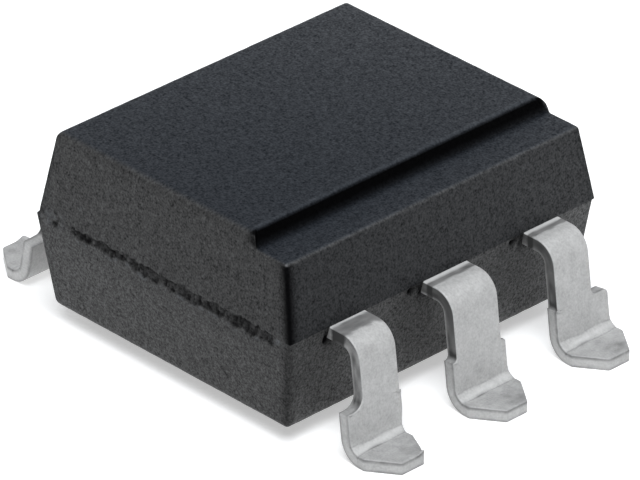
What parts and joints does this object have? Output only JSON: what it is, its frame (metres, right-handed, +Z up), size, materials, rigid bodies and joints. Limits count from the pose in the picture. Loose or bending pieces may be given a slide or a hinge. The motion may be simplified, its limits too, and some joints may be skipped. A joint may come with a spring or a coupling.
{
  "type": "optocoupler",
  "caption": "Moulded black optocoupler with gull-wing leads along two sides and a step along one edge",
  "frame": {"origin": "under the middle of the body and of the two lead rows, on the plane that the soles of the feet stand on", "axes": "+X across the lead rows, towards leads one to three and the stepped edge; +Y along the lead rows, from lead one to lead three; +Z up, away from the circuit board"},
  "size_m": [0.0104, 0.0075, 0.0039],
  "materials": {
    "mould_resin": "fine spark-eroded matte",
    "guide_resin": "translucent white, matte",
    "silicone_gel": "clear and soft",
    "tinned_lead": "dull matte tin",
    "emitter_die": "polished crystal",
    "silicon_die": "polished silicon",
    "die_attach": "silver-filled epoxy",
    "gold_wire": "drawn gold"
  },
  "bodies": {
    "root": {"outer_mould": "mould_resin", "light_guide": "guide_resin", "silicone_dome": "silicone_gel", "lead_1": "tinned_lead", "lead_2": "tinned_lead", "lead_3": "tinned_lead", "lead_4": "tinned_lead", "lead_5": "tinned_lead", "lead_6": "tinned_lead", "led_die": "emitter_die", "led_attach": "die_attach", "detector_die": "silicon_die", "detector_attach": "die_attach", "led_wire": "gold_wire", "emitter_wire": "gold_wire", "base_wire": "gold_wire"}
  },
  "joints": []
}
